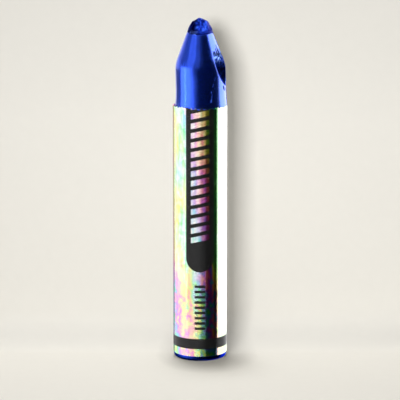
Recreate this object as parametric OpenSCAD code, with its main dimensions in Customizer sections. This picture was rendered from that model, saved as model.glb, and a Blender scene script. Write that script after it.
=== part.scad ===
// Round wax crayon, part used: a cast stick with a worn, chipped head, in a rolled foil-paper wrapper.
// Millimetres. The stick stands on its flat base, +Z runs up its axis and the print faces -Y.
// Azimuths are in degrees round the axis, from 0 at -Y towards +X.

/* [Stick] */
// Diameter of the cast stick under the wrapper
stick_d = 10.8; // [8:0.1:16]
// Bare wax below the wrapper
bare_base = 1.1; // [0.8:0.1:6]
// Bare wax above the wrapper, up to the top of the worn point
bare_tip = 17.6; // [16:0.1:24]
// Radius that rounds the edge of the base
base_round = 0.6; // [0.2:0.1:0.7]

/* [Head] */
// Wax worn off the radius where the head leaves the wrapper
rim_wear = 0.12; // [0.1:0.02:0.3]
// Wax worn off the radius at the waist
waist_wear = 0.3; // [0.2:0.02:0.6]
// Height over which the waist flares back to the wrapper
flare_h = 4; // [3:0.1:4.6]
// How far the foot of the head stands off the stick's axis, towards +X
head_shift = 0.25; // [0:0.01:0.3]
// Lean that brings the top of the head back over the axis
head_lean = 1.1; // [0:0.1:1.5]
// Angle between the cone's side and its axis
cone_angle = 21.5; // [20:0.5:23]
// Radius of the cone where the worn point begins
cone_top_r = 2.52; // [2.3:0.02:2.8]
// Radius that blends the waist into the cone
shoulder_r = 7; // [4:0.5:10]

/* [Worn point] */
// Height of the pressed lump above its foot on the cone
nub_h = 2.7; // [2.4:0.05:3]
// Angle by which the lump leans forwards, its foot lower in front than behind
nub_lean = 12; // [0:1:15]
// Distance from the lump's middle to its steep flats
nub_wall = 2.38; // [2.3:0.02:2.5]
// Distance from the lump's middle to its sloping flats
nub_side = 2.18; // [2.1:0.02:2.3]
// Distance from the lump's middle to its uppermost flats
nub_top = 2.48; // [2.4:0.02:2.6]
// Number of flats in each ring round the lump
nub_flats = 7; // [5:1:9]
// Slope of the middle ring of flats, up from the vertical
nub_tilt = 30; // [25:1:35]
// Number of small lumps in the ragged lip where the lump meets the cone
lip_count = 9; // [7:1:12]
// Reach of the ragged lip
lip_r = 2.64; // [2.56:0.02:2.76]

/* [Chip] */
// Azimuth that the floor of the chip faces
floor_az = 48; // [40:1:56]
// Middle of the chip's floor below the top of the point
floor_drop = 10.8; // [10:0.1:11.6]
// Least distance of the chip's floor from the axis
floor_in = 3; // [2.6:0.05:4]
// Radius of the chip's hollow floor
floor_r = 6; // [5:0.5:8]
// Azimuth that the side wall of the chip faces
wall_az = 82; // [72:1:92]
// Middle of the chip's side wall below the top of the point
wall_drop = 5.2; // [4.5:0.1:6]
// Least distance of the chip's side wall from the axis
wall_in = 2.65; // [2.1:0.05:3]
// Radius of the chip's side wall
wall_r = 15; // [12:0.5:18]
// Number of flaked slivers along the top of the chip
sliver_count = 9; // [5:1:11]
// Middle of the foremost sliver below the top of the point
sliver_drop = 7.9; // [7:0.1:8.6]
// Rise from the foremost sliver to the hindmost
sliver_rise = 1.8; // [1:0.1:2.4]
// Azimuth of the foremost sliver
sliver_az = 40; // [36:1:46]
// Stretch of azimuths that the slivers cover
sliver_span = 55; // [40:1:60]
// Width of a sliver round the head
sliver_w = 0.42; // [0.3:0.02:0.6]
// Depth of a sliver
sliver_depth = 0.3; // [0.2:0.05:0.45]
// Middle of the nick at the chip's foot below the top of the point
nick_drop = 14.4; // [13.5:0.1:15]
// Depth of the nick
nick_depth = 0.3; // [0.2:0.05:0.5]
// Number of small dents in the waist beside the chip
dent_count = 5; // [2:1:8]
// Middle azimuth of the dents
dent_az = 34; // [28:1:40]
// Height of the lowest dent above the wrapper
dent_rise = 1.5; // [1:0.1:2]
// Spacing of the dents up the waist
dent_pitch = 1; // [0.7:0.05:1.2]
// Width of a dent round the waist
dent_w = 0.4; // [0.25:0.05:0.6]
// Depth of the small dents
dent_depth = 0.12; // [0.08:0.02:0.2]

/* [Wrapper] */
// Length of the wrapper, from its cut foot to its torn top
wrap_len = 51.5; // [40:0.5:80]
// Thickness of the printed sheet
paper_t = 0.1; // [0.06:0.01:0.3]
// Glue line between the wax and the sheet
glue_gap = 0.07; // [0.06:0.01:0.1]
// Azimuth where the sheet's outer edge is stuck down
lap_az = 195; // [120:1:240]
// Width of the lap round the stick
lap_w = 3; // [1.5:0.5:6]

/* [Torn edge] */
// Spacing of the small bites round the torn edge
bite_pitch = 0.72; // [0.5:0.02:1.2]
// Depth of the small bites
bite_depth = 0.3; // [0.15:0.05:0.5]
// Number of deeper rips in the front of the torn edge
rip_count = 7; // [3:1:10]
// Depth of the deeper rips
rip_depth = 0.62; // [0.5:0.05:1]

/* [Print] */
// Width of the dark panel on the front
panel_w = 5.66; // [4:0.1:8]
// Foot of the panel above the base
panel_foot = 18.8; // [15:0.1:30]
// Width of the row of slanted bars in the panel
bars_w = 3.7; // [2:0.1:3.9]
// Thickness of each slanted bar along the crayon
bar_t = 1.15; // [0.6:0.05:1.4]
// Spacing of the slanted bars
bar_pitch = 1.95; // [1.6:0.05:3]
// Rise of a bar from its left end to its right end
bar_rise = 0.8; // [0:0.1:1.5]
// Bare panel between its foot and the first bar
bars_start = 6.4; // [3:0.1:12]
// Number of small dark ticks below the panel
tick_count = 9; // [3:1:12]
// Length of each tick round the stick
tick_w = 2.2; // [1:0.1:3]
// Thickness of each tick
tick_t = 0.55; // [0.3:0.05:0.7]
// Spacing of the ticks
tick_pitch = 1.1; // [0.8:0.05:1.1]
// Middle of the lowest tick above the base
ticks_foot = 7; // [6:0.1:8]
// Width of the dark band round the foot of the wrapper
band_w = 2.15; // [1:0.05:3]
// Foil left bare below the band
band_gap = 1.55; // [0.5:0.05:2]

/* [Hidden] */
$fn = 96;

WAX = [0.10, 0.24, 0.85];
WAX_BROKEN = [0.05, 0.12, 0.50];
FOIL = [0.88, 0.86, 0.90];
INK = [0.06, 0.06, 0.07];

SEED = 11;
// Reach of a cutting tool past the stick
OVER = 1;
// Reach of a bite's cutting tool to each side of the inside of the sheet
BITE_REACH = 0.6;
// Depth to which the head's foot and the lump are sunk into the wax below them
TUCK = 0.4;
// Reach of the cone past the middle of the lump's foot
CONE_REACH = 0.7;
// Number of straight steps in a rounded stretch of an outline
ARC_STEPS = 8;

stick_r = stick_d / 2;
torn_z = bare_base + wrap_len;
tip_z = torn_z + bare_tip;
waist_r = stick_r - waist_wear;
rim_r = stick_r - rim_wear;
cone_foot_z = tip_z - nub_h;
shoulder_z = cone_foot_z - (waist_r - cone_top_r) / tan(cone_angle);
shoulder_run = shoulder_r * tan(cone_angle / 2);
sheet_in_r = stick_r + glue_gap;
sheet_out_r = sheet_in_r + paper_t;
lap_deg = lap_w / sheet_out_r * 180 / PI;

// Turns its children from the front (azimuth 0) to another azimuth
module at_azimuth(azimuth) {
    rotate([0, 0, azimuth]) children();
}

// Points of an arc, from one direction to another
function arc(centre, r, from_deg, to_deg) = [
    for (i = [0 : ARC_STEPS])
        let (a = from_deg + (to_deg - from_deg) * i / ARC_STEPS)
        centre + r * [cos(a), sin(a)]
];

// ---- the cast stick ----

// Half outline of the stick below the torn edge: a cylinder with a rounded foot
module stick_outline() {
    polygon(concat(
        [[0, 0]],
        arc([stick_r - base_round, base_round], base_round, -90, 0),
        [[stick_r, torn_z - TUCK], [0, torn_z - TUCK]]
    ));
}

// Half outline of the worn head, from the torn edge (height 0) into the foot of the lump:
// a flared rim, a straight waist, a rounded shoulder and a cone
module head_outline() {
    wear = waist_wear - rim_wear;
    // The flare is an arc that starts upright at the waist and ends at the rim
    flare_r = (pow(flare_h, 2) + pow(wear, 2)) / (2 * wear);
    flare_end = asin(flare_h / flare_r);
    shoulder_foot = shoulder_z - shoulder_run - torn_z;
    top_h = cone_foot_z + CONE_REACH - torn_z;
    polygon(concat(
        [[0, -TUCK], [rim_r, -TUCK]],
        arc([waist_r + flare_r, flare_h], flare_r, 180 + flare_end, 180),
        arc([waist_r - shoulder_r, shoulder_foot], shoulder_r, 0, cone_angle),
        [[cone_r(cone_foot_z + CONE_REACH), top_h], [0, top_h]]
    ));
}

// The head stands a little off the stick's axis and leans back over it. The lump's foot cuts its top aslant.
module head() {
    difference() {
        translate([head_shift, 0, torn_z]) rotate([0, -head_lean, 0]) rotate_extrude() head_outline();
        at_foot() flat_cut(0, 90, 0);
    }
}

// Moves its children to the middle of the lump's slanted foot
module at_foot() {
    translate([0, 0, cone_foot_z]) rotate([nub_lean, 0, 0]) children();
}

// Half space whose flat face lies a given distance out, facing an azimuth and tilted upwards
module flat_cut(azimuth, tilt, distance) {
    reach = 2 * stick_d;
    at_azimuth(azimuth) rotate([-tilt, 0, 0])
        translate([-reach / 2, -distance - reach, -reach / 2]) cube(reach);
}

// The pressed lump of wax on the cone: a ball cut by three rings of uneven flats, with a ragged lip
module worn_point() {
    at_foot() {
        difference() {
            sphere(r = nub_h);
            flat_cut(0, -90, TUCK);
            flat_ring(4, nub_wall, 0);
            flat_ring(nub_tilt, nub_side, 0.5);
            flat_ring(nub_tilt + 25, nub_top, 0);
        }
        lip();
    }
}

// Uneven flats round the lump, at about one tilt and one distance from its middle
module flat_ring(tilt, distance, offset) {
    tilts = rands(-5, 5, nub_flats, SEED + tilt);
    turns = rands(-9, 9, nub_flats, SEED + tilt + 1);
    insets = rands(-0.07, 0.07, nub_flats, SEED + tilt + 2);
    for (i = [0 : nub_flats - 1])
        flat_cut((i + offset) * 360 / nub_flats + turns[i], tilt + tilts[i], distance + insets[i]);
}

// Small lumps pressed out round the foot of the worn point
module lip() {
    sizes = rands(0.42, 0.62, lip_count, SEED + 3);
    drops = rands(-0.05, 0.2, lip_count, SEED + 4);
    for (i = [0 : lip_count - 1])
        at_azimuth(i * 360 / lip_count + 8)
            translate([0, sizes[i] - lip_r, -drops[i]]) sphere(r = sizes[i], $fn = 24);
}

// Radius of the worn head at a height, on its cone
function cone_r(z) = cone_top_r + (cone_foot_z - z) * tan(cone_angle);

// An egg-shaped hollow [width, thickness, height] cut to a depth below a radius of the head.
// Slant swings its foot round the stick, and lean tips its top towards the axis.
module scoop(azimuth, z, r, depth, size, slant = 0, lean = 0) {
    at_azimuth(azimuth) translate([0, depth - r - size[1] / 2, z])
        rotate([-lean, 0, 0]) rotate([0, -slant, 0]) scale(size / 2) sphere(r = 1);
}

// The shell-shaped break in the side of the head: a hollow floor that faces forwards and a side wall,
// as two balls leave them where they overlap, a nick at the foot and thin slivers flaked off the top
module chip() {
    intersection() {
        ball_outside(floor_az, tip_z - floor_drop, floor_in, floor_r);
        ball_outside(wall_az, tip_z - wall_drop, wall_in, wall_r);
    }
    scoop(wall_az + 2, tip_z - nick_drop, waist_r + head_shift, nick_depth, [1, 1.2, 1.3], 20);
    slivers();
}

// A ball whose nearest point to the axis faces an azimuth, at a height and a distance
module ball_outside(azimuth, z, distance, r) {
    at_azimuth(azimuth) translate([0, -distance - r, z]) sphere(r = r);
}

// Thin slivers flaked off side by side along the top of the chip, from its front to its back
module slivers() {
    turns = rands(-2, 2, sliver_count, SEED + 12);
    rises = rands(-0.6, 0.8, sliver_count, SEED + 5);
    lengths = rands(2.2, 3.8, sliver_count, SEED + 6);
    for (i = [0 : sliver_count - 1]) {
        share = i / (sliver_count - 1);
        z = tip_z - sliver_drop + sliver_rise * share + rises[i];
        azimuth = sliver_az + sliver_span * share + turns[i];
        scoop(azimuth, z, cone_r(z), sliver_depth, [sliver_w, 1, lengths[i]], 6, cone_angle);
    }
}

// Small shallow dents knocked into the front of the waist beside the chip
module dents() {
    turns = rands(-7, 7, dent_count, SEED + 13);
    lengths = rands(0.7, 1.4, dent_count, SEED + 14);
    for (i = [0 : dent_count - 1])
        scoop(dent_az + turns[i], torn_z + dent_rise + i * dent_pitch, waist_r + head_shift / 2,
            dent_depth, [dent_w, 0.5, lengths[i]], 10);
}

module wax_stick() {
    color(WAX) difference() {
        union() {
            rotate_extrude() stick_outline();
            head();
            worn_point();
        }
        color(WAX_BROKEN) {
            chip();
            dents();
        }
    }
}

// ---- the wrapper ----

// The rolled sheet before it is torn: one turn, and a lap where its outer edge is stuck down
module sheet() {
    translate([0, 0, bare_base]) {
        rotate_extrude() translate([sheet_in_r, 0]) square([paper_t, wrap_len]);
        at_azimuth(lap_az - lap_deg / 2 - 90) rotate_extrude(angle = lap_deg)
            translate([sheet_out_r - paper_t / 2, 0]) square([1.5 * paper_t, wrap_len]);
    }
}

// Round bite down into the torn edge, cut straight through the sheet
module bite(azimuth, r, depth) {
    at_azimuth(azimuth) translate([0, BITE_REACH - sheet_in_r, torn_z - depth + r]) rotate([90, 0, 0])
        cylinder(r = r, h = 2 * BITE_REACH, $fn = 32);
}

// The torn edge: small bites all the way round, and a few deeper rips in front
module torn_edge() {
    count = round(2 * PI * sheet_in_r / bite_pitch);
    shares = rands(0.55, 0.75, count, SEED + 7);
    depths = rands(0.5, 1, count, SEED + 8);
    turns = rands(-0.15, 0.15, count, SEED + 9);
    for (i = [0 : count - 1])
        bite((i + turns[i]) * 360 / count, shares[i] * bite_pitch, depths[i] * bite_depth);
    rip_azimuths = rands(-20, 42, rip_count, SEED + 10);
    rip_depths = rands(0.6, 1, rip_count, SEED + 11);
    for (i = [0 : rip_count - 1])
        bite(rip_azimuths[i], rip_depths[i] * rip_depth, rip_depths[i] * rip_depth);
}

// Slanted bars in a row up the panel, the last one cut off by the torn edge
module slanted_bars() {
    first = panel_foot + bars_start;
    count = ceil((torn_z - first) / bar_pitch);
    for (i = [0 : count - 1])
        translate([0, first + i * bar_pitch]) polygon([
            [-bars_w / 2, -bar_rise / 2],
            [bars_w / 2, bar_rise / 2],
            [bars_w / 2, bar_rise / 2 + bar_t],
            [-bars_w / 2, bar_t - bar_rise / 2]
        ]);
}

// The print on the front, drawn flat: a dark panel with a round foot and bare slanted bars,
// and a row of small dark ticks below it
module front_print() {
    difference() {
        union() {
            translate([0, panel_foot + panel_w / 2]) circle(d = panel_w);
            translate([-panel_w / 2, panel_foot + panel_w / 2])
                square([panel_w, torn_z + OVER - panel_foot - panel_w / 2]);
        }
        slanted_bars();
    }
    for (i = [0 : tick_count - 1])
        translate([0, ticks_foot + i * tick_pitch]) square([tick_w, tick_t], center = true);
}

// All that is printed dark: the front print and a band round the foot
module printed() {
    rotate([90, 0, 0]) linear_extrude(stick_r + OVER) front_print();
    translate([0, 0, bare_base + band_gap]) cylinder(r = stick_r + OVER, h = band_w);
}

module wrapper() {
    difference() {
        union() {
            color(FOIL) difference() {
                sheet();
                printed();
            }
            color(INK) intersection() {
                sheet();
                printed();
            }
        }
        torn_edge();
    }
}

wax_stick();
wrapper();
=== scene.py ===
"""A part-used wax crayon: a worn, chipped blue stick in a foil-paper wrapper with a torn edge.

Sizes are in millimetres and angles in degrees until they reach Blender. Azimuths run round the stick's
axis from 0 at the printed front (-Y) towards +X.
"""
import math

import bpy
import numpy as np
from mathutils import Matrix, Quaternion, Vector


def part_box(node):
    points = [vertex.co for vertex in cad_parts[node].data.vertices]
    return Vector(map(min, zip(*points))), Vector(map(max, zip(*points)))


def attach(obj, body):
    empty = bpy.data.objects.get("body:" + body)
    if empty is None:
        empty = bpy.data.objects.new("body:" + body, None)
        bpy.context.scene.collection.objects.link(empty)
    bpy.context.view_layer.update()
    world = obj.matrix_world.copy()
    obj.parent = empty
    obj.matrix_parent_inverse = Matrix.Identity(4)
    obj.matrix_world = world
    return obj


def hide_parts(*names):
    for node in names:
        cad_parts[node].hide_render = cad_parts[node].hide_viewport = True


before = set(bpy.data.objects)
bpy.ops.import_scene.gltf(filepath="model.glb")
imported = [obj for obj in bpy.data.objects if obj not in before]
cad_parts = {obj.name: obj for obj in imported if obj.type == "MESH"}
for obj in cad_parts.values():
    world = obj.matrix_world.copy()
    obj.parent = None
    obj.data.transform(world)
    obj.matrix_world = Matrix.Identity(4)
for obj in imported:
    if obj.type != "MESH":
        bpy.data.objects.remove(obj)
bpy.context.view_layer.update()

MM = 0.001

# ---- sizes of the crayon, from the frame or the same as those of its solids ----

stick_low, stick_high = [np.array(corner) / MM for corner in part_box("wax_stick")]
sheet_low, sheet_high = [np.array(corner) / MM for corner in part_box("wrapper")]

SHEET_R = -sheet_low[1]
PAPER_T = 0.1
GLUE_GAP = 0.07
STICK_R = SHEET_R - PAPER_T - GLUE_GAP
BARE_BASE = sheet_low[2]
WRAP_LEN = 51.5
TORN_Z = BARE_BASE + WRAP_LEN
TIP_Z = stick_high[2]
BASE_ROUND = 0.6
TUCK = 0.4

RIM_WEAR = 0.12
WAIST_WEAR = 0.3
FLARE_H = 4.0
HEAD_SHIFT = 0.25
HEAD_LEAN = 1.1
CONE_ANGLE = 21.5
CONE_TOP_R = 2.52
SHOULDER_R = 7.0
NUB_H = 2.7
NUB_LEAN = 12.0
NUB_WALL = 2.38
NUB_SIDE = 2.18
NUB_TOP = 2.48
NUB_TILT = 30.0

FLOOR_AZ = 48.0
FLOOR_DROP = 10.8
FLOOR_IN = 3.0
FLOOR_R = 6.0
WALL_AZ = 82.0
WALL_DROP = 5.2
WALL_IN = 2.65
WALL_R = 15.0
SLIVER_DROP = 7.9
SLIVER_RISE = 1.8
SLIVER_AZ = 40.0
SLIVER_SPAN = 55.0
NICK_DROP = 14.4
DENT_DEPTH = 0.12

LAP_AZ = 195.0
LAP_W = 3.0
BITE_PITCH = 0.72
BITE_DEPTH = 0.3
RIP_DEPTH = 0.62

PANEL_W = 5.66
PANEL_FOOT = 18.8
BARS_W = 3.7
BAR_T = 1.15
BAR_PITCH = 1.95
BAR_RISE = 0.8
BARS_START = 6.4
TICK_COUNT = 9
TICK_W = 2.2
TICK_T = 0.55
TICK_PITCH = 1.1
TICKS_FOOT = 7.0
BAND_W = 2.15
BAND_GAP = 1.55

WAIST_R = STICK_R - WAIST_WEAR
CONE_FOOT_Z = TIP_Z - NUB_H
SHOULDER_Z = CONE_FOOT_Z - (WAIST_R - CONE_TOP_R) / math.tan(math.radians(CONE_ANGLE))

# ---- small relief that is finer here than in the solids ----

LIP_IN = 0.2
LIP_OUT = 0.12
LIP_UP = 2.0
LIP_SPAN = 11.0

# Nicks at the chip's foot: azimuth past the wall's, height above the drop, depth, size and slant.
NICKS = ((2.0, 0.0, 0.3, (1.0, 1.2, 1.3), 20.0), (-15.0, 0.4, 0.45, (0.6, 1.0, 1.3), 30.0))
SLIVER_COUNT = 14
EDGE_COUNT = 16
EDGE_DROP = 5.2
EDGE_SPAN = 4.6
EDGE_AZ = (72.0, 125.0)
DENT_COUNT = 12
DENT_FIRST_AZ = 25.0
DENT_FIRST_RISE = 1.2
DENT_AZ_STEP = 1.1
DENT_RISE_STEP = 0.42
RIP_AZ = (-14.0, -3.0, 9.0, 17.0, 31.0)


# ---- helpers for surfaces ----

def smooth_step(low, high, x):
    """0 below low, 1 above high, and the cubic 3t^2 - 2t^3 between them."""
    t = np.clip((x - low) / (high - low), 0, 1)
    return t * t * (3 - 2 * t)


def lattice(cell, seed):
    """A repeatable number from 0 to 1 for each whole-number cell: an integer hash of its three indices."""
    i = cell.astype(np.int64).astype(np.uint64)
    h = i[..., 0] * np.uint64(374761393) + i[..., 1] * np.uint64(668265263)
    h = h + i[..., 2] * np.uint64(2246822519) + np.uint64(seed * 3266489917)
    h = (h ^ (h >> np.uint64(13))) * np.uint64(1274126177)
    h = (h ^ (h >> np.uint64(16))) & np.uint64(0xFFFFFFFF)
    return h.astype(float) / 0xFFFFFFFF


def grain(points, size, seed):
    """Smooth noise from -1 to 1: the hash at a cell's eight corners, blended by cubic steps."""
    p = points / size
    cell = np.floor(p)
    f = p - cell
    f = f * f * (3 - 2 * f)
    total = np.zeros(p.shape[:-1])
    for corner in np.ndindex(2, 2, 2):
        weight = np.ones(p.shape[:-1])
        for axis, step in enumerate(corner):
            weight = weight * (f[..., axis] if step else 1 - f[..., axis])
        total += weight * lattice(cell + np.array(corner), seed)
    return 2 * total - 1


def rough(points, size, seed, octaves=3):
    """Sum of noises, each half as large and half as strong as the one before."""
    return sum(grain(points, size / 2 ** k, seed + k) / 2 ** k for k in range(octaves))


def outward(azimuth):
    """Unit vectors that point away from the axis at each azimuth."""
    a = np.radians(azimuth)
    return np.stack([np.sin(a), -np.cos(a), np.zeros_like(a)], axis=-1)


def mesh_piece(name, points, faces, material, **attributes):
    """An object from points in millimetres and faces, with its material and its point attributes."""
    mesh = bpy.data.meshes.new(name)
    mesh.from_pydata((points * MM).tolist(), [], faces)
    for key, values in attributes.items():
        mesh.attributes.new(key, "FLOAT", "POINT").data.foreach_set("value", np.ravel(values))
    mesh.materials.append(material)
    mesh.shade_smooth()
    piece = bpy.data.objects.new(name, mesh)
    bpy.context.scene.collection.objects.link(piece)
    return piece


def band_faces(rows, cols, closed):
    """Four-sided faces of a grid that wraps along its columns, and along its rows if closed."""
    last = rows if closed else rows - 1
    i, j = np.meshgrid(np.arange(last), np.arange(cols), indexing="ij")
    up, right = (i + 1) % rows, (j + 1) % cols
    quads = np.stack([i * cols + j, i * cols + right, up * cols + right, up * cols + j], axis=-1)
    return quads.reshape(-1, 4).tolist()


# ---- the wax stick ----

STICK_COLS = 360


def head_profile(z):
    """Radius of the worn head: a flare that is an arc, a straight waist, a rounded shoulder, a cone."""
    wear = WAIST_WEAR - RIM_WEAR
    flare_r = (FLARE_H ** 2 + wear ** 2) / (2 * wear)
    below = np.clip(TORN_Z + FLARE_H - z, 0, FLARE_H + TUCK)
    flare = WAIST_R + flare_r - np.sqrt(flare_r ** 2 - below ** 2)
    slope = math.radians(CONE_ANGLE)
    run = SHOULDER_R * math.tan(slope / 2)
    above = np.clip(z - (SHOULDER_Z - run), 0, SHOULDER_R * math.sin(slope))
    shoulder = WAIST_R - SHOULDER_R + np.sqrt(SHOULDER_R ** 2 - above ** 2)
    cone = CONE_TOP_R + (CONE_FOOT_Z - z) * math.tan(slope)
    past_shoulder = z > SHOULDER_Z - run + SHOULDER_R * math.sin(slope)
    return np.where(past_shoulder, cone, np.where(z < TORN_Z + FLARE_H, flare, shoulder))


def head_centre(z):
    """Centre of the head at a height: it stands off the axis at the torn edge and leans back over it."""
    shift = HEAD_SHIFT - (z - TORN_Z) * math.tan(math.radians(HEAD_LEAN))
    return np.stack([shift, np.zeros_like(z), z], axis=-1)


def scoop_reach(start, ray, azimuth, z, r, depth, size, slant=0.0, lean=0.0):
    """How far a ray runs before it enters an egg-shaped hollow, or infinity: the smaller root of the
    quadratic that a unit ball gives once the hollow is turned upright and shrunk to it. The hollow stands
    so that its inner end is at the given depth under a skin of radius r."""
    az, sl, le = (math.radians(v) for v in (azimuth, -slant, -lean))
    turn_z = np.array([[math.cos(az), -math.sin(az), 0], [math.sin(az), math.cos(az), 0], [0, 0, 1]])
    turn_x = np.array([[1, 0, 0], [0, math.cos(le), -math.sin(le)], [0, math.sin(le), math.cos(le)]])
    turn_y = np.array([[math.cos(sl), 0, math.sin(sl)], [0, 1, 0], [-math.sin(sl), 0, math.cos(sl)]])
    turn = turn_z @ turn_x @ turn_y
    middle = turn_z @ np.array([0, depth - r - size[1] / 2, z])
    half = np.array(size) / 2
    o = ((start - middle) @ turn) / half
    d = (ray @ turn) / half
    a = np.sum(d * d, axis=-1)
    b = np.sum(o * d, axis=-1)
    c = np.sum(o * o, axis=-1) - 1
    root = b * b - a * c
    enter = (-b - np.sqrt(np.maximum(root, 0))) / a
    return np.where((root > 0) & (enter > 0), enter, np.inf)


def ball_span(start, ray, azimuth, z, distance, r):
    """Where a ray enters and leaves a ball whose nearest point to the axis faces an azimuth: the roots of
    |start + t ray - middle| = r, or an empty span if there are none."""
    middle = outward(np.array(azimuth)) * (distance + r) + np.array([0, 0, z])
    b = np.sum((start - middle) * ray, axis=-1)
    root = b * b - np.sum((start - middle) ** 2, axis=-1) + r * r
    half = np.sqrt(np.maximum(root, 0))
    return np.where(root > 0, -b - half, np.inf), np.where(root > 0, -b + half, -np.inf)


def small_cuts():
    """The small hollows on the head, each as the values that scoop_reach takes after the ray: two nicks at
    the chip's foot, slivers flaked off above it, short ones down its right edge, and a slanted row of dents
    in the waist."""
    skin_r = WAIST_R + HEAD_SHIFT
    cuts = [(WALL_AZ + turn, TIP_Z - NICK_DROP + rise, skin_r, depth, size, slant)
            for turn, rise, depth, size, slant in NICKS]
    rng = np.random.default_rng(5)
    slope = math.tan(math.radians(CONE_ANGLE))
    for share in np.linspace(0, 1, SLIVER_COUNT):
        azimuth = SLIVER_AZ + SLIVER_SPAN * share
        height = TIP_Z - SLIVER_DROP + SLIVER_RISE * share + rng.uniform(-1.5, 0.4)
        r = CONE_TOP_R + (CONE_FOOT_Z - height) * slope
        size = (rng.uniform(0.24, 0.45), 1.0, rng.uniform(2.4, 4.0))
        depth = rng.uniform(0.25, 0.5)
        cuts.append((azimuth, height, r, depth, size, rng.uniform(-4, 12), CONE_ANGLE))
    for share in np.linspace(0, 1, EDGE_COUNT):
        height = TIP_Z - EDGE_DROP - EDGE_SPAN * share
        r = CONE_TOP_R + (CONE_FOOT_Z - height) * slope + HEAD_SHIFT * 1.6
        size = (rng.uniform(0.3, 0.6), 1.0, rng.uniform(0.8, 1.6))
        azimuth = rng.uniform(*EDGE_AZ)
        depth = rng.uniform(0.3, 0.5)
        cuts.append((azimuth, height, r, depth, size, rng.uniform(0, 40), CONE_ANGLE))
    for k in range(DENT_COUNT):
        size = (rng.uniform(0.2, 0.4), 0.5, rng.uniform(0.3, 0.8))
        azimuth = DENT_FIRST_AZ + DENT_AZ_STEP * k + rng.uniform(-5, 5)
        height = TORN_Z + DENT_FIRST_RISE + DENT_RISE_STEP * k
        depth = DENT_DEPTH * rng.uniform(0.5, 1)
        cuts.append((azimuth, height, WAIST_R + HEAD_SHIFT / 2, depth, size, rng.uniform(-30, 30)))
    return cuts


def chip_reach(start, ray):
    """Distance to the broken surface: the nearest of the space that two balls share and the small cuts."""
    floor_in, floor_out = ball_span(start, ray, FLOOR_AZ, TIP_Z - FLOOR_DROP, FLOOR_IN, FLOOR_R)
    wall_in, wall_out = ball_span(start, ray, WALL_AZ, TIP_Z - WALL_DROP, WALL_IN, WALL_R)
    enter = np.maximum(floor_in, wall_in)
    reach = np.where((enter > 0) & (enter < np.minimum(floor_out, wall_out)), enter, np.inf)
    for cut in small_cuts():
        reach = np.minimum(reach, scoop_reach(start, ray, *cut))
    return reach


def nub_reach(azimuth, lift):
    """Distance from the middle of the lump's foot to its skin, and the rays along which it is measured:
    the nearest of a ball and three rings of uneven flats."""
    rng = np.random.default_rng(4)
    up = np.radians(lift)
    ray = outward(azimuth) * np.cos(up)[..., None]
    ray[..., 2] = np.sin(up)
    reach = np.full(azimuth.shape, NUB_H)
    flats = ((4, NUB_WALL, 0), (NUB_TILT, NUB_SIDE, 0.5), (NUB_TILT + 25, NUB_TOP, 0))
    for tilt, distance, offset in flats:
        for k in range(7):
            az = (k + offset) * 360 / 7 + rng.uniform(-9, 9)
            t = math.radians(tilt + rng.uniform(-5, 5))
            normal = outward(np.array(az)) * math.cos(t)
            normal[2] = math.sin(t)
            facing = np.maximum(ray @ normal, 1e-6)
            reach = np.minimum(reach, (distance + rng.uniform(-0.07, 0.07)) / facing)
    return reach, ray


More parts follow.
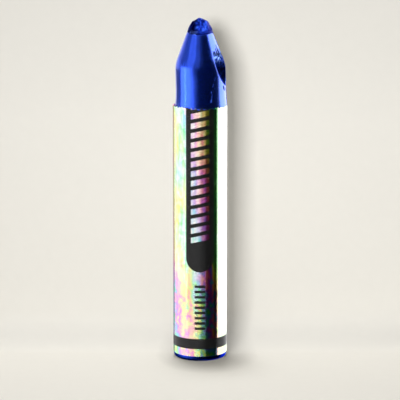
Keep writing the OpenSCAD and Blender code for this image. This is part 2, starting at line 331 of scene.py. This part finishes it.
def stick_surface():
    """Rings of points up the stick, and how broken the wax is at each one.

    Every ring is centre + reach * ray. Below the torn edge the rays are level and the reach is the
    cylinder's radius, drawn in along the rounded foot. On the head it is the lesser of the worn profile
    and the chip, and the rings tilt up to the lump's slanted foot. On the lump the rays fan out from the
    middle of that foot, from just below it to straight up, and lean forwards with it. A rounded lip runs
    round its foot, where it was pressed on to the cone.
    """
    azimuth = np.arange(STICK_COLS) * 360 / STICK_COLS
    round_deg = np.linspace(-90, 0, 9)
    foot_r = STICK_R - BASE_ROUND + BASE_ROUND * np.cos(np.radians(round_deg))
    foot_z = BASE_ROUND + BASE_ROUND * np.sin(np.radians(round_deg))
    low_r = np.concatenate([[0.5 * STICK_R], foot_r, [STICK_R, STICK_R]])
    low_z = np.concatenate([[0.0], foot_z, [BARE_BASE, TORN_Z - TUCK]])
    low = outward(azimuth)[None] * low_r[:, None, None]
    low[..., 2] = low_z[:, None]

    lean = math.radians(NUB_LEAN)
    foot_top = CONE_FOOT_Z - CONE_TOP_R * np.cos(np.radians(azimuth)) * math.tan(lean)
    share = np.linspace(0, 1, 190)[:, None]
    height = TORN_Z - TUCK + 0.02 + (foot_top - TORN_Z + TUCK - 0.02) * share
    az = np.broadcast_to(azimuth, height.shape)
    start, ray = head_centre(height), outward(az)
    profile = head_profile(height)
    chip = chip_reach(start, ray)
    skin = start + ray * profile[..., None]
    worn = 0.02 * grain(skin, 2.5, 21) + 0.012 * grain(skin * np.array([1, 1, 0.25]), 0.9, 22)
    fracture = 0.07 * rough(skin, 1.3, 31) + 0.02 * grain(skin, 0.25, 35)
    broken = smooth_step(-0.02, 0.05, profile - chip)
    reach = np.where(chip < profile, np.minimum(chip + fracture * smooth_step(0, 0.3, profile - chip),
                                                profile), profile + worn)
    head = start + ray * reach[..., None]

    lift = np.concatenate([[-7, -5, -2], 90 * np.linspace(0.01, 1, 66)[:-1]])
    az, up = np.meshgrid(azimuth, lift)
    reach, ray = nub_reach(az, up)
    middle = np.array([0, 0, CONE_FOOT_Z])
    neck_r = np.linalg.norm(head[-1] - middle, axis=-1)
    lip = neck_r - LIP_IN + LIP_OUT * np.sqrt(np.clip(1 - ((up - LIP_UP) / LIP_SPAN) ** 2, 0, 1))
    lip = lip * (up < LIP_UP + LIP_SPAN) + 0.06 * grain(ray * reach[..., None], 0.7, 47)
    lump = 0.09 * rough(ray * reach[..., None], 0.9, 41) + 0.04 * grain(ray * reach[..., None], 0.3, 45)
    nub = ray * (np.maximum(reach, lip) + lump)[..., None]
    nub = np.stack([nub[..., 0], nub[..., 1] * math.cos(lean) - nub[..., 2] * math.sin(lean),
                    nub[..., 1] * math.sin(lean) + nub[..., 2] * math.cos(lean)], axis=-1) + middle

    rings = np.concatenate([low, head, nub])
    wear = np.concatenate([np.zeros(low.shape[:2]), broken, np.ones(nub.shape[:2])])
    return rings, wear


def wax_stick(material):
    """The stick: its rings joined by four-sided faces, with a point at the foot's and the top's middle."""
    rings, wear = stick_surface()
    rows, cols = rings.shape[:2]
    faces = band_faces(rows, cols, closed=False)
    foot, top = rows * cols, rows * cols + 1
    j = np.arange(cols)
    after = (j + 1) % cols
    faces += np.stack([after, j, np.full(cols, foot)], axis=-1).tolist()
    upper = (rows - 1) * cols
    faces += np.stack([upper + j, upper + after, np.full(cols, top)], axis=-1).tolist()
    ends = np.array([[0, 0, 0], rings[-1].mean(axis=0)])
    points = np.concatenate([rings.reshape(-1, 3), ends])
    points[:, 2] = np.minimum(points[:, 2], TIP_Z)
    return mesh_piece("wax_stick_worn", points, faces, material,
                      broken=np.concatenate([wear.ravel(), [0, 1]]))


# ---- the wrapper ----

SHEET_COLS = 720


def torn_height(azimuth):
    """Height of the torn edge: the sheet's top less the deepest of the round bites and rips that reach
    there."""
    rng = np.random.default_rng(8)
    count = round(2 * math.pi * STICK_R / BITE_PITCH)
    pitch = 360 / count
    middles = (np.arange(count) + rng.uniform(-0.2, 0.2, count)) * pitch
    radii = BITE_PITCH * rng.uniform(0.5, 0.72, count)
    depths = BITE_DEPTH * rng.uniform(0.5, 1.1, count)
    rip_depths = RIP_DEPTH * rng.uniform(0.6, 1.0, len(RIP_AZ))
    middles = np.concatenate([middles, RIP_AZ])
    depths = np.concatenate([depths, rip_depths])
    radii = np.concatenate([radii, rip_depths * 0.8])
    away = np.abs((azimuth[:, None] - middles + 180) % 360 - 180) * math.pi / 180 * SHEET_R
    dip = depths - radii + np.sqrt(np.maximum(radii ** 2 - away ** 2, 0))
    dip = np.where(away < radii, np.maximum(dip, 0), 0)
    return TORN_Z - dip.max(axis=1)


def sheet_surface():
    """Rings of a rolled sheet, round its section: up the outside, over the torn edge, down the inside.

    The outer radius is the sheet's, plus the lap's thickness over the width of the lap, plus long
    shallow creases.
    """
    azimuth = np.arange(SHEET_COLS) * 360 / SHEET_COLS
    top = torn_height(azimuth)
    share = np.concatenate([np.linspace(0, 0.9, 30), 0.9 + 0.1 * np.linspace(0, 1, 24)[1:]])
    z = BARE_BASE + (top - BARE_BASE)[None] * share[:, None]
    az = np.broadcast_to(azimuth, z.shape)
    flat = outward(az) * SHEET_R
    flat[..., 2] = z
    lap_deg = math.degrees(LAP_W / SHEET_R)
    from_lap = np.abs((az - LAP_AZ + 180) % 360 - 180) - lap_deg / 2
    lap = PAPER_T * smooth_step(0.8, -0.2, from_lap)
    crease = 0.012 * grain(flat * np.array([1, 1, 0.12]), 1.6, 61) + 0.006 * grain(flat, 3.0, 62)
    outer_r = SHEET_R - 0.012 + lap + crease
    outer = outward(az) * outer_r[..., None]
    outer[..., 2] = z
    inner_z = z[::-6]
    inner = outward(az[::-6]) * (STICK_R + GLUE_GAP)
    inner[..., 2] = inner_z
    inner[-1, :, 2] = BARE_BASE
    return np.concatenate([outer, inner])


def wrapper(material):
    """The wrapper: a closed sleeve whose rings wrap both ways, with crisp edges."""
    rings = sheet_surface()
    rows, cols = rings.shape[:2]
    piece = mesh_piece("wrapper_foil", rings.reshape(-1, 3), band_faces(rows, cols, closed=True), material)
    piece.data.set_sharp_from_angle(angle=math.radians(40))
    return piece


# ---- shader maths ----

class Field:
    """A number that varies over a surface. Operators add the nodes that work it out."""

    def __init__(self, nodes, socket):
        self.nodes, self.socket = nodes, socket

    def __add__(self, other):
        return self.nodes.maths("ADD", self, other)

    def __sub__(self, other):
        return self.nodes.maths("SUBTRACT", self, other)

    def __rsub__(self, other):
        return self.nodes.maths("SUBTRACT", other, self)

    def __mul__(self, other):
        return self.nodes.maths("MULTIPLY", self, other)

    def __truediv__(self, other):
        return self.nodes.maths("DIVIDE", self, other)

    __radd__, __rmul__ = __add__, __mul__


class Finish:
    """A material's node tree, and the few ways in which nodes are added to it."""

    def __init__(self, name, world=False):
        if world:
            self.owner = bpy.data.worlds.new(name)
        else:
            self.owner = bpy.data.materials.new(name)
        self.owner.use_nodes = True
        self.tree = self.owner.node_tree
        self.tree.nodes.clear()

    def node(self, kind, settings=None, sockets=None, out=0):
        """Adds a node: its settings first, then values or links for its sockets. Returns one output."""
        made = self.tree.nodes.new(kind)
        for key, value in (settings or {}).items():
            if key == "stops":
                ramp = made.color_ramp.elements
                while len(ramp) < len(value):
                    ramp.new(0.5)
                for element, (place, colour) in zip(ramp, value):
                    element.position, element.color = place, (*colour, 1)
            else:
                setattr(made, key, value)
        for key, value in (sockets or {}).items():
            if isinstance(value, Field):
                self.tree.links.new(value.socket, made.inputs[key])
            else:
                made.inputs[key].default_value = value
        return Field(self, made.outputs[out]) if len(made.outputs) else made

    def maths(self, operation, a, b=0.0):
        return self.node("ShaderNodeMath", {"operation": operation}, {0: a, 1: b})

    def step(self, value, low, high):
        """0 below low, 1 above high, straight between."""
        return self.node("ShaderNodeMapRange", {"clamp": True},
                         {"Value": value, "From Min": low, "From Max": high})

    def mix(self, share, a, b):
        """Blends two colours."""
        a, b = [(*c, 1) if isinstance(c, tuple) else c for c in (a, b)]
        return self.node("ShaderNodeMix", {"data_type": "RGBA"}, {0: share, 6: a, 7: b}, out=2)

    def place(self, scale=(1, 1, 1)):
        """Object coordinates in millimetres, stretched by a scale."""
        coords = self.node("ShaderNodeTexCoord", out=3)
        return self.node("ShaderNodeMapping", {}, {"Vector": coords, "Scale": [s / MM for s in scale]})

    def axes(self, vector):
        """The three parts of a vector."""
        made = self.node("ShaderNodeSeparateXYZ", {}, {0: vector}).socket.node
        return [Field(self, part) for part in made.outputs]

    def noise(self, place, scale, detail=3.0, distortion=0.0):
        return self.node("ShaderNodeTexNoise", {},
                         {"Vector": place, "Scale": scale, "Detail": detail, "Distortion": distortion})

    def surface(self, **sockets):
        """A Principled surface. Underscores in the names stand for spaces."""
        named = {key.replace("_", " "): value for key, value in sockets.items()}
        return self.node("ShaderNodeBsdfPrincipled", {}, named)

    def bump(self, height, distance, strength=1.0):
        return self.node("ShaderNodeBump", {},
                         {"Height": height, "Distance": distance * MM, "Strength": strength})

    def done(self, shader):
        is_world = isinstance(self.owner, bpy.types.World)
        kind = "ShaderNodeOutputWorld" if is_world else "ShaderNodeOutputMaterial"
        self.node(kind, {}, {"Surface": shader})
        return self.owner


# Colours of the wax, in pairs where a noise blends between two, or for the base rim a painted shade.
FRESH = ((0.023, 0.09, 0.9), (0.032, 0.115, 1.0))
# Paler blue painted on the right of the stick as a highlight, where the strip light on the right shows.
HIGHLIGHT_BLUE = (0.13, 0.23, 1.0)
# The base rim's own colour, then the near-black of painted shade on it.
BASE_RIM_AND_SHADE = ((0.008, 0.028, 0.29), (0.0006, 0.002, 0.02))
# Broken wax, painted dark as shade for the chip's hollows.
TORN_SHADED = ((0.002, 0.006, 0.09), (0.02, 0.06, 0.5))
DENTED = ((0.002, 0.008, 0.12), (0.07, 0.17, 0.9))
FLAKED = (0.26, 0.42, 1.0)
LUMP = ((0.001, 0.005, 0.13), (0.011, 0.048, 0.6))
LUMP_BRIGHT = (0.045, 0.15, 1.0)
# Painted shade along the lump's foot and right edge.
LUMP_EDGE_SHADE = (0.001, 0.004, 0.1)
# Painted shade on the left of the lump.
LUMP_SHADE = (0.0006, 0.001, 0.02)
LUMP_FLECK = (0.14, 0.24, 0.95)
BROKEN_SHEEN = (0.15, 0.35, 1.0, 1.0)

# Where the wax changes: heights in millimetres, azimuths in radians.
SMEAR_FOOT = 57.0
SMEAR_TOP = 66.0
SMEAR_LEFT = 1.3
SMEAR_RIGHT = 2.4
# Where the painted highlight runs round the stick.
HIGHLIGHT_LEFT = 0.68
HIGHLIGHT_RIGHT = 1.7
DENTED_TOP = 59.0
DENTED_RIGHT = 0.8


def blue_wax():
    """Glossy blue wax, streaked along the stick, and paler on the right of the head, a painted highlight
    where the strip light on the right shows in it. Where it is broken it is duller and rougher, and darker
    as painted shade for its hollows, with pale flakes at the top of the chip, and the lump is mottled, with
    painted shade: near-black on the left and dark along its foot and right edge, with pale crumbs along
    its lip. Round past the right edge of the chip a dark smear has the broken look too, and so has the rim
    of the base, which is darker still, with painted shade right of its middle and along its bottom."""
    f = Finish("blue_wax")
    here = f.place()
    x, y, z = f.axes(here)
    azimuth = f.maths("ARCTAN2", x, y * -1)
    broken = f.node("ShaderNodeAttribute", {"attribute_name": "broken"}, out=2)
    smear = f.step(azimuth, SMEAR_LEFT, SMEAR_LEFT + 0.15) * f.step(azimuth, SMEAR_RIGHT, SMEAR_RIGHT - 0.3)
    smear = smear * f.step(z, SMEAR_FOOT, SMEAR_FOOT + 1.2) * f.step(z, SMEAR_TOP, SMEAR_TOP - 1.0)
    foot = f.step(z, BARE_BASE + 0.3, BARE_BASE - 0.2)
    broken = f.maths("MAXIMUM", f.maths("MAXIMUM", broken, smear), foot)
    streaks = f.noise(f.place((1, 1, 0.12)), 1.4, 4.0)
    clouds = f.noise(here, 0.5, 3.0)
    crumbs = f.noise(here, 3.2, 5.0, 0.4)
    height = streaks * 0.12 + clouds * 0.4 + crumbs * broken * 1.6
    normal = f.bump(height, 0.06, 0.5)

    # Painted highlight: paler blue on the right of the stick, where the strip light on the right shows in
    # it.
    highlight_edge = azimuth + f.step(z, 59.0, 62.0) * 0.16
    painted_highlight = f.step(highlight_edge, HIGHLIGHT_LEFT, HIGHLIGHT_LEFT + 0.1)
    painted_highlight = painted_highlight * f.step(azimuth, HIGHLIGHT_RIGHT, HIGHLIGHT_RIGHT - 0.3)
    fresh = f.mix(painted_highlight * (0.55 + clouds * 0.9), f.mix(clouds, *FRESH), HIGHLIGHT_BLUE)
    whole = f.surface(Base_Color=fresh, Metallic=0.98, Roughness=0.17 + streaks * 0.08, Normal=normal,
                      Specular_IOR_Level=0.2, Coat_Weight=0.35, Coat_Roughness=0.1)

    # Broken wax is painted dark as shade for its hollows, mottled by the crumbs.
    torn = f.mix(f.step(crumbs, 0.4, 0.65), *TORN_SHADED)
    dented = f.step(azimuth, DENTED_RIGHT, DENTED_RIGHT - 0.08) * f.step(z, DENTED_TOP, DENTED_TOP - 0.5)
    torn = f.mix(dented, torn, f.mix(f.step(crumbs, 0.42, 0.55), *DENTED))
    flakes = f.noise(f.place((1, 1, 0.3)), 2.2, 2.0)
    flakes = f.step(flakes, 0.51, 0.53) * f.step(z, TIP_Z - SLIVER_DROP - 1.4, TIP_Z - SLIVER_DROP)
    torn = f.mix(flakes, torn, FLAKED)

    above = z - y * math.tan(math.radians(NUB_LEAN)) - CONE_FOOT_Z
    # Painted shade: sunlit is 0 on the left of the lump, away from the light, where it is painted
    # near-black.
    sunlit = f.step(x + clouds * 2 - 1, -1.1, -0.1)
    mottle = f.noise(here, 1.3, 3.0)
    lump = f.mix(f.step(crumbs + mottle, 0.88, 1.04), *LUMP)
    lump = f.mix(f.step(mottle, 0.56, 0.64), lump, LUMP_BRIGHT)
    # Painted shade: darker along the lump's foot and its right edge.
    edge = f.maths("MAXIMUM", f.step(above, 0.75, 0.2), f.step(x, 1.4, 2.3))
    lump = f.mix(edge * 0.8, lump, LUMP_EDGE_SHADE)
    # Painted shade: the lump's left side goes near-black.
    lump = f.mix(sunlit, LUMP_SHADE, lump)
    flecks = f.step(f.noise(here, 5.0, 2.0), 0.6, 0.63) * f.step(above, 1.0, 0.6) * f.step(x, -0.2, -0.6)
    lump = f.mix(flecks, lump, LUMP_FLECK)

    # Painted shade on the base rim: right of its middle, and along its bottom where it meets the floor.
    shade = f.maths("MAXIMUM", f.step(x, 0.0, 1.8) * f.step(x, 4.7, 3.8), f.step(z, 0.55, 0.3))
    pressed = f.step(z, CONE_FOOT_Z - 0.9, CONE_FOOT_Z - 0.7)
    colour = f.mix(foot, f.mix(pressed, torn, lump), f.mix(shade, *BASE_RIM_AND_SHADE))
    dull = pressed * (sunlit + flecks) * 0.5 + dented * (1 - foot) * 0.6
    fracture = f.surface(Base_Color=colour, Metallic=0.98 - dull, Roughness=0.24 + crumbs * 0.15,
                         Normal=normal, Specular_IOR_Level=0.2, Specular_Tint=BROKEN_SHEEN)
    return f.done(f.node("ShaderNodeMixShader", {}, {0: broken, 1: whole, 2: fracture}))


def print_mask(f):
    """1 where the wrapper is printed dark: a panel with a round foot and bare slanted bars, small ticks
    below it, and a band round the foot. It reads x and height in millimetres on the front half."""
    x, y, z = f.axes(f.place())
    edge = 0.03
    front = f.step(y, 0.1, -0.1)
    side = f.maths("ABSOLUTE", x)
    foot_middle = PANEL_FOOT + PANEL_W / 2
    below = f.maths("MINIMUM", z - foot_middle, 0.0)
    away = f.maths("SQRT", x * x + below * below)
    panel = f.step(away, PANEL_W / 2 + edge, PANEL_W / 2 - edge)
    rise = z - x * (BAR_RISE / BARS_W) - (PANEL_FOOT + BARS_START)
    along = f.maths("FLOORED_MODULO", rise, BAR_PITCH)
    in_bar = f.step(f.maths("ABSOLUTE", along - BAR_T / 2), BAR_T / 2 + edge, BAR_T / 2 - edge)
    in_row = f.step(side, BARS_W / 2 + edge, BARS_W / 2 - edge) * f.step(rise, -0.2, -0.1)
    panel = panel * (1 - in_bar * in_row)
    up = f.maths("FLOORED_MODULO", z - (TICKS_FOOT - TICK_PITCH / 2), TICK_PITCH)
    tick = f.step(f.maths("ABSOLUTE", up - TICK_PITCH / 2), TICK_T / 2 + edge, TICK_T / 2 - edge)
    span = TICK_COUNT * TICK_PITCH
    from_middle = f.maths("ABSOLUTE", z - (TICKS_FOOT + (span - TICK_PITCH) / 2))
    in_ticks = f.step(from_middle, span / 2, span / 2 - 0.01)
    ticks = tick * in_ticks * f.step(side, TICK_W / 2 + edge, TICK_W / 2 - edge)
    band_middle = BARE_BASE + BAND_GAP + BAND_W / 2
    band = f.step(f.maths("ABSOLUTE", z - band_middle), BAND_W / 2 + edge, BAND_W / 2 - edge)
    return f.maths("MAXIMUM", f.maths("MAXIMUM", panel, ticks) * front, band)


FOIL_HUES = [
    (0.0, (0.60, 0.26, 0.78)), (0.18, (1.0, 0.36, 0.60)), (0.34, (1.0, 0.66, 0.36)),
    (0.5, (0.86, 0.92, 0.24)), (0.66, (0.26, 0.80, 0.34)), (0.83, (0.30, 0.68, 0.85)),
    (1.0, (0.60, 0.26, 0.78))]
# The white of the painted glare.
FOIL_GLARE_WHITE = (1.0, 0.97, 0.9)
FOIL_GREEN = 0.55
INK = (0.004, 0.004, 0.004, 1)


def foil_paper():
    """Rainbow foil on paper with dark print. Hues drift round and up the sleeve in tall soft patches, more
    broken near its foot. Streaks of painted glare wash them out, and the right side is painted nearly white
    as glare. The strip before it is painted in darker, deeper hues as shade, with green next to the panel.
    Only the outer skin is foil: the cut edges and the inside are matt paper."""
    f = Finish("foil_paper")
    x, y, z = f.axes(f.place())
    azimuth = f.maths("ARCTAN2", x, y * -1)
    low = f.step(z, 21.0, 14.0)
    # Painted shade: the strip from the front round to the right side, where little light shows in the foil,
    # takes darker, deeper hues.
    shaded_strip = f.step(azimuth, -0.15, 0.3) * f.step(azimuth, 0.72, 0.62)
    patches = f.noise(f.place((1, 1, 0.3)), 0.33, 2.0, 0.4)
    mottle = f.noise(f.place((1, 1, 0.8)), 0.8, 4.0, 0.8)
    threads = f.noise(f.place((1, 1, 0.07)), 1.6, 3.0)
    drift = azimuth * 0.65 + z * 0.0095 + patches + threads * 0.5 + mottle * (0.3 + low * 1.2)
    greener = f.step(azimuth, 0.42, 0.52) * (1.0 - low * 0.7)
    hue = f.maths("FRACT", drift - low * 0.86 - 0.07)
    hue = hue * (1.0 - greener) + (FOIL_GREEN + mottle * 0.2) * greener
    rainbow = f.node("ShaderNodeValToRGB", {"stops": FOIL_HUES}, {0: hue})
    # The painted shade's hues: the rainbow made darker and deeper, and darker still near the foot.
    shaded_hues = f.mix(low * 0.55, f.node("ShaderNodeGamma", {}, {0: rainbow, 1: 2.4}), (0.0, 0.0, 0.0))
    # Painted glare: pale streaks that wash out the hues, except at the far left, fewer near the foot.
    glare = f.step(threads + mottle, 0.75, 1.25) * (1.0 - low * 0.6) * f.step(azimuth, -1.4, -1.0)
    # Painted glare on the right side, where the sheen on its right shows: nearly white, less so near the
    # foot.
    right_glare = f.step(azimuth, 0.6, 0.75) * (0.85 - f.step(z, 14.0, 3.0) * 0.35)
    colour = f.mix(f.maths("MAXIMUM", glare, right_glare), rainbow, FOIL_GLARE_WHITE)
    colour = f.mix(shaded_strip, colour, shaded_hues)
    radius = f.maths("SQRT", x * x + y * y)
    skin = f.step(radius, SHEET_R - 0.07, SHEET_R - 0.05)
    height = threads * 0.5 + mottle * low
    foil = f.surface(Base_Color=colour, Metallic=skin, Roughness=0.1 + threads * 0.1,
                     Normal=f.bump(height, 0.05, 0.6))
    ink = f.surface(Base_Color=INK, Roughness=0.17 + threads * 0.1, Specular_IOR_Level=0.3,
                    Normal=f.bump(height, 0.03, 0.5))
    return f.done(f.node("ShaderNodeMixShader", {}, {0: print_mask(f) * skin, 1: foil, 2: ink}))


# ---- the set: paper sweep, lamps and camera ----

PAPER_WHITE = (0.81, 0.788, 0.732)


def pale_paper():
    """Warm white paper. Its tone is a little darker away from the crayon, a painted fall-off, and darker
    close round its foot, a painted contact shadow, and painted darker in the bend, where the lamps from the
    front and from above add up. The wall is painted lighter to the right and darker towards its foot, and
    the floor a little lighter than the wall, to even out the lamps. It lets the lamps shine through, and is
    clear from behind, so that it never hides the crayon."""
    f = Finish("pale_paper")
    x, y, z = f.axes(f.place())
    level = f.axes(f.node("ShaderNodeNewGeometry", out=1))[2]
    upright = f.maths("SQRT", f.maths("MAXIMUM", 1 - level * level, 0.0))
    fibre = f.noise(f.place(), 0.6, 4.0)
    away = f.maths("SQRT", x * x + (z - 36) * (z - 36) + y * y * 0.06)
    near = f.maths("SQRT", (x - 1.5) * (x - 1.5) * 1.7 + y * y * 0.9)
    bend = upright * level
    # Painted fall-off: a little darker away from the crayon; the fibre noise is the paper's own.
    tone = (1.0 - f.step(away, 5.0, 62.0) * 0.09) * (0.985 + fibre * 0.03)
    # Painted light to even out the lamps: the wall lighter to the right and darker towards its foot.
    tone = tone * (1 + x * (1 - level) * 0.0011) * (1 - f.step(z, 48.0, 14.0) * (1 - level) * 0.09)
    # Painted light to even out the lamps: the floor lighter than the wall, the bend darker.
    tone = tone * (0.97 + level * 0.06 - bend * bend * 0.58)
    # Painted contact shadow on the floor round the crayon's foot, centred a little to its right.
    tone = tone * (1 - (1 - f.step(near, 6.0, 14.0)) * level * 0.34)
    paper = f.surface(Base_Color=f.mix(tone, (0.0, 0.0, 0.0), PAPER_WHITE), Roughness=0.9,
                      Specular_IOR_Level=0.0)
    clear = f.node("ShaderNodeBsdfTransparent")
    behind = f.node("ShaderNodeNewGeometry", out=6)
    shadow = f.node("ShaderNodeLightPath", out=1)
    unseen = f.maths("MAXIMUM", behind, shadow)
    return f.done(f.node("ShaderNodeMixShader", {}, {0: unseen, 1: paper, 2: clear}))


def paper_sweep():
    """A sheet of paper as a floor that turns up through a quarter circle into a wall behind the crayon."""
    wall_y = 9.0
    cove_r = 8.0
    half_width = 160.0
    front_y = -110.0
    wall_top = 230.0
    bend = np.radians(np.linspace(-90, 0, 13))
    y = np.concatenate([[front_y], wall_y - cove_r + cove_r * np.cos(bend), [wall_y]])
    z = np.concatenate([[0.0], cove_r + cove_r * np.sin(bend), [wall_top]])
    section = np.stack([y, z - 0.02], axis=-1)
    left = np.insert(section, 0, -half_width, axis=1)
    right = np.insert(section, 0, half_width, axis=1)
    points = np.stack([left, right], axis=1).reshape(-1, 3)
    i = np.arange(len(section) - 1) * 2
    faces = np.stack([i, i + 1, i + 3, i + 2], axis=-1).tolist()
    sweep = mesh_piece("paper_sweep", points, faces, pale_paper())
    sweep.visible_glossy = False
    return sweep


class Lamps:
    """Rectangular lamps that face the middle of the crayon. Their brightness is that of their surface,
    where 1 is white."""

    def __init__(self, pieces, paper):
        self.pieces = self.group("crayon_pieces", pieces)
        self.paper = self.group("paper_only", [paper])

    def group(self, name, pieces):
        made = bpy.data.collections.new(name)
        for piece in pieces:
            made.objects.link(piece)
        return made

    def add(self, name, azimuth, elevation, distance, size, brightness, roll=0.0, shift=(0, 0),
            glossy=True, only=None, shadows=True):
        """Adds one. It shows only in reflections if glossy, and otherwise lights only matt surfaces.
        Roll turns it clockwise as the crayon sees it, shift moves it right and up, only keeps its light
        to one piece, and without shadows the crayon does not stand in its way."""
        data = bpy.data.lights.new(name, "AREA")
        data.shape, data.size, data.size_y = "RECTANGLE", size[0] * MM, size[1] * MM
        data.energy = brightness * math.pi * size[0] * size[1] * MM * MM
        a, e = math.radians(azimuth), math.radians(elevation)
        away = Vector((math.sin(a) * math.cos(e), -math.cos(a) * math.cos(e), math.sin(e)))
        turn = away.to_track_quat("Z", "Y")
        made = bpy.data.objects.new(name, data)
        made.location = Vector((0, 0, TIP_Z / 2 * MM)) + away * distance * MM
        made.location += turn @ Vector((shift[0], shift[1], 0)) * MM
        made.rotation_euler = (turn @ Quaternion((0, 0, 1), math.radians(roll))).to_euler()
        made.visible_camera = False
        made.visible_glossy = glossy
        made.visible_diffuse = not glossy
        bpy.context.scene.collection.objects.link(made)
        if glossy:
            data.cycles.max_bounces = 0
        made.light_linking.blocker_collection = self.pieces if shadows else self.paper
        if only:
            made.light_linking.receiver_collection = self.group(name + "_lights", [only])


BOX_AWAY = 420

# Soft boxes that show in the wax: name, azimuth, elevation, width and height, brightness.
WAX_BOXES = (
    ("left_box", -75, -10, (466, 280), 2.0),
    ("left_line", -75, -10, (10, 280), 12.0),
    ("left_back", -122, -7, (300, 280), 0.22),
    ("left_edge_0", -40.5, -10, (66, 280), 1.4),
    ("left_edge_1", -31.5, -10, (66, 280), 0.6),
    ("left_edge_2", -22.5, -10, (66, 280), 0.16),
    ("upper_box", -50, 28, (273, 330), 0.84),
    ("upper_back", -88, 22, (306, 330), 0.38),
    ("upper_rim", -131, 12, (290, 190), 0.7),
    ("upper_edge", -19, 31, (194, 330), 0.36),
    ("upper_end", 4, 33, (140, 330), 0.08),
    ("left_rim", -168, 5, (330, 900), 0.9),
    ("chip_glow", 108, -62, (420, 260), 3.5),
)

# Tall ones that show in the foil: name, azimuth, width, brightness.
FOIL_BOXES = (
    ("back_sheen", -165, 520, 0.55),
    ("left_sheen", -97, 700, 1.25),
    ("front_sheen", -28, 500, 1.0),
    ("front_dim", 13, 150, 0.5),
    ("right_dim", 44, 310, 0.07),
    ("right_sheen", 124, 870, 1.5),
)
FOIL_BOX_H = 900


def lamps(stick, foil, paper):
    """Soft boxes on all sides that show in the gloss, each in one piece only, and four soft lamps for the
    paper: a key from the left, a fill without shadows, and two above."""
    add = Lamps([stick, foil], paper).add
    for name, azimuth, elevation, size, brightness in WAX_BOXES:
        add(name, azimuth, elevation, BOX_AWAY, size, brightness, only=stick)
    for name, azimuth, width, brightness in FOIL_BOXES:
        add(name, azimuth, 0, BOX_AWAY, (width, FOIL_BOX_H), brightness, only=foil)
    add("right_strip", 120, 0, BOX_AWAY, (500, 1400), 2.2, roll=28, shift=(-60, 200), only=stick)
    add("key", -19, 12, 620, (250, 240), 15.5, glossy=False)
    add("fill_front", 0, -16, 900, (900, 600), 1.58, glossy=False, shadows=False)
    add("floor_top", -160, 82, 600, (125, 125), 42.0, glossy=False)
    add("floor_wide", 180, 60, 600, (700, 400), 0.2, glossy=False)


SKY = (0.887, 0.863, 0.799, 1)


def pale_world():
    """Pale where the camera looks past the paper. Reflections see that too, well above and below, and
    between them a dark studio, which the soft boxes stand in. It lights nothing matt."""
    f = Finish("pale_world", world=True)
    seen, mirrored, through = [f.node("ShaderNodeLightPath", out=k) for k in (0, 3, 6)]
    rise = f.maths("ABSOLUTE", f.axes(f.node("ShaderNodeTexCoord", out=0))[2])
    steep = f.step(rise, 0.74, 0.86)
    strength = f.maths("MAXIMUM", seen, f.maths("MAXIMUM", mirrored, through) * steep)
    sky = f.node("ShaderNodeBackground", {}, {"Color": SKY, "Strength": strength})
    bpy.context.scene.world = f.done(sky)


def camera():
    """A long lens ten degrees above the crayon's middle, square to its front."""
    elevation = 10.0
    distance = 377.4
    aim_z = 32.82
    px_per_mm = 27.0 / 5.55
    frame_px = 400
    data = bpy.data.cameras.new("camera")
    data.sensor_width = 36.0
    data.lens = data.sensor_width * px_per_mm * distance / frame_px
    made = bpy.data.objects.new("camera", data)
    e = math.radians(elevation)
    made.location = Vector((0, -math.cos(e) * distance, aim_z + math.sin(e) * distance)) * MM
    made.rotation_euler = (math.radians(90 - elevation), 0, 0)
    data.clip_start, data.clip_end = 0.01, 10
    bpy.context.scene.collection.objects.link(made)
    bpy.context.scene.camera = made


# ---- the crayon in its set ----

stick = wax_stick(blue_wax())
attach(stick, "root")
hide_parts("wax_stick")

sleeve = wrapper(foil_paper())
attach(sleeve, "root")
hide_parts("wrapper")

bpy.context.scene.view_settings.view_transform = "Standard"
for piece in (stick, sleeve):
    piece.visible_diffuse = False
camera()
lamps(stick, sleeve, paper_sweep())
pale_world()
